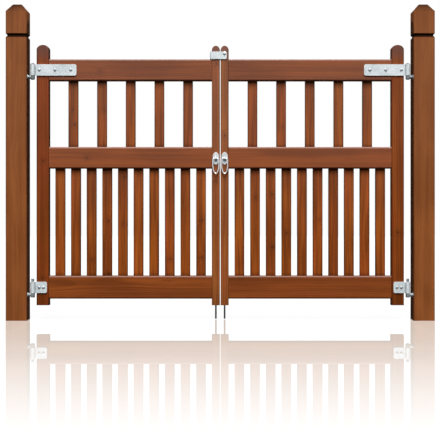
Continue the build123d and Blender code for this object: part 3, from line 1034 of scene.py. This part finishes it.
def cut_cross(screw, top, arm, width, depth):
    bpy.ops.object.select_all(action="DESELECT")
    bpy.ops.mesh.primitive_cube_add(size=1, location=(0, 0, 0))
    cutter = bpy.context.object
    edit(cutter)
    bpy.ops.mesh.select_all(action="SELECT")
    bpy.ops.transform.resize(value=(2 * arm, width, 2 * depth), center_override=(0, 0, 0))
    select_level(cutter, -depth)
    bpy.ops.transform.resize(value=cross_taper, center_override=(0, 0, 0))
    bpy.ops.mesh.select_all(action="SELECT")
    bpy.ops.mesh.duplicate()
    bpy.ops.transform.rotate(value=math.radians(90), orient_axis="Z", center_override=(0, 0, 0))
    bpy.ops.mesh.select_all(action="SELECT")
    bpy.ops.transform.translate(value=(0, 0, top))
    bpy.ops.object.mode_set(mode="OBJECT")
    carve(screw, cutter, "DIFFERENCE")


cut_cross(domed_screw, top=domed_height, arm=0.0026, width=0.0010, depth=0.0018)
cut_cross(sunk_screw, top=head_edge, arm=0.0021, width=0.0008, depth=0.0012)
for screw in (domed_screw, sunk_screw):
    print(screw.name, len(screw.data.polygons), "faces")

# %% Screw places of the right leaf, read off the pieces that the screws hold
first_from_edge = 0.013
upper_pitch = 0.074
lower_pitch = 0.020
strap_front = -0.027
plate_offset = 0.020
plate_front = -0.0255
guide_offset = 0.012
guide_half = 0.0125
guide_back = 0.0255

leaf_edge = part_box("right_hanging_stile")[1].x
first_across = leaf_edge - first_from_edge
upper_height = middle_of("right_upper_band").z
lower_height = middle_of("right_lower_band").z
guide_low, guide_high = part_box("right_bolt_guides")

band_places = [(first_across - i * upper_pitch, strap_front, upper_height) for i in range(3)]
band_places += [(first_across - i * lower_pitch, strap_front, lower_height) for i in range(2)]
front_places = [(pull_middle.x, plate_front, pull_middle.z + s * plate_offset) for s in (-1, 1)]
back_places = [
    (pull_middle.x + s * guide_offset, guide_back, height)
    for height in (guide_low.z + guide_half, guide_high.z - guide_half)
    for s in (-1, 1)
]
print(len(band_places), "band screws and", len(front_places) + len(back_places), "small screws a leaf")


# %% Set copies in place and join them to one piece
def set_copies(model, places, towards_front):
    copies = []
    for number, place in enumerate(places):
        bpy.ops.object.select_all(action="DESELECT")
        model.select_set(True)
        bpy.context.view_layer.objects.active = model
        bpy.ops.object.duplicate()
        copy = bpy.context.object
        tilt = Matrix.Rotation(math.radians(90 if towards_front else -90), 4, "X")
        turn = Matrix.Rotation(number * golden * math.pi, 4, "Z")
        copy.matrix_world = Matrix.Translation(place) @ tilt @ turn
        bpy.ops.object.transform_apply(location=True, rotation=True, scale=True)
        copies.append(copy)
    return copies


def join_pieces(pieces, name, finish):
    bpy.ops.object.select_all(action="DESELECT")
    for piece in pieces:
        piece.select_set(True)
    bpy.context.view_layer.objects.active = pieces[0]
    bpy.ops.object.join()
    joined = bpy.context.object
    joined.name = name
    joined.data.materials.clear()
    joined.data.materials.append(finish)
    return joined


def mirrored_places(places, sign):
    return [(sign * x, y, z) for x, y, z in places]


for side, sign in (("left", -1), ("right", 1)):
    stout = set_copies(domed_screw, mirrored_places(band_places, sign), True)
    small = set_copies(sunk_screw, mirrored_places(front_places, sign), True)
    small += set_copies(sunk_screw, mirrored_places(back_places, sign), False)
    band_screws = join_pieces(stout, f"{side}_band_screws", shaded_screw_zinc)
    small_screws = join_pieces(small, f"{side}_small_screws", bright_zinc)
    for piece in (band_screws, small_screws):
        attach(piece, f"{side}_leaf")
        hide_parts(f"{side}_leaf_screws")
    print(side, "screws:", len(band_screws.data.polygons) + len(small_screws.data.polygons), "faces")
for model in (domed_screw, sunk_screw):
    bpy.data.objects.remove(model)

# %% [markdown]
# ## Bolt and nut of the loop
# The throw-over loop turns on a coach bolt through the right closing stile. Its head is a low dome, and
# on the back a nut holds it with a short end of thread standing out. The thread could be a helix, but two
# turns of it are in sight, and plain ridges drawn out ring by ring look the same. A real nut's corners
# are turned off on a lathe, which leaves curved edges on its flats: a six-sided blank cut back to a
# turned barrel gives just that. Both are galvanised like the loop.

# %% Turn the bolt
bolt_head_radius = 0.0085
bolt_head_height = 0.004
bolt_radius = 0.004
head_seat = 0.0268
nut_height = 0.0065
thread_end = 0.002
thread_pitch = 0.001
thread_root = 0.88
bolt_tip = 0.8

bolt = round_blank("loop_bolt", bolt_head_radius, head_edge)
select_level(bolt, head_edge)
raise_dome(bolt_head_radius, bolt_head_height - head_edge)
select_level(bolt, 0.0)
next_ring(bolt_radius / bolt_head_radius, 0.0)
next_ring(1.0, -(2 * head_seat + nut_height))
for _ in range(round(thread_end / thread_pitch)):
    next_ring(thread_root, -thread_pitch / 2)
    next_ring(1 / thread_root, -thread_pitch / 2)
next_ring(bolt_tip, 0.0)
stop_editing()
print("bolt:", len(bolt.data.polygons), "faces")

# %% Cut the nut
nut_width = 0.013
nut_corner = 0.0012
bore_gap = 0.00015

corner_radius = nut_width / math.sqrt(3)
turned_radius = corner_radius - nut_corner
widening = corner_radius / turned_radius

nut = round_blank("loop_nut", corner_radius, nut_height, 6)
stop_editing()
barrel = round_blank("nut_barrel", turned_radius, nut_corner / 2)
select_level(barrel, nut_corner / 2)
bpy.ops.transform.resize(value=(widening, widening, 1), center_override=(0, 0, 0))
next_ring(1.0, nut_height - nut_corner)
next_ring(1 / widening, nut_corner / 2)
stop_editing()
carve(nut, barrel, "INTERSECT")
bore = round_blank("nut_bore", bolt_radius + bore_gap, 3 * nut_height)
bpy.ops.mesh.select_all(action="SELECT")
bpy.ops.transform.translate(value=(0, 0, -nut_height))
stop_editing()
carve(nut, bore, "DIFFERENCE")
print("nut:", len(nut.data.polygons), "faces")

# %% Put bolt and nut through the right closing stile
bolt_middle = middle_of("loop_bolt_and_nut")
bolt_at = [(bolt_middle.x, -head_seat, bolt_middle.z)]
nut_at = [(bolt_middle.x, head_seat + nut_height, bolt_middle.z)]
pieces = set_copies(bolt, bolt_at, True) + set_copies(nut, nut_at, True)
loop_bolt = join_pieces(pieces, "loop_bolt_and_chamfered_nut", galvanised)
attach(loop_bolt, "right_leaf")
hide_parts("loop_bolt_and_nut")
for model in (bolt, nut):
    bpy.data.objects.remove(model)
print("loop bolt and nut:", len(loop_bolt.data.polygons), "faces")
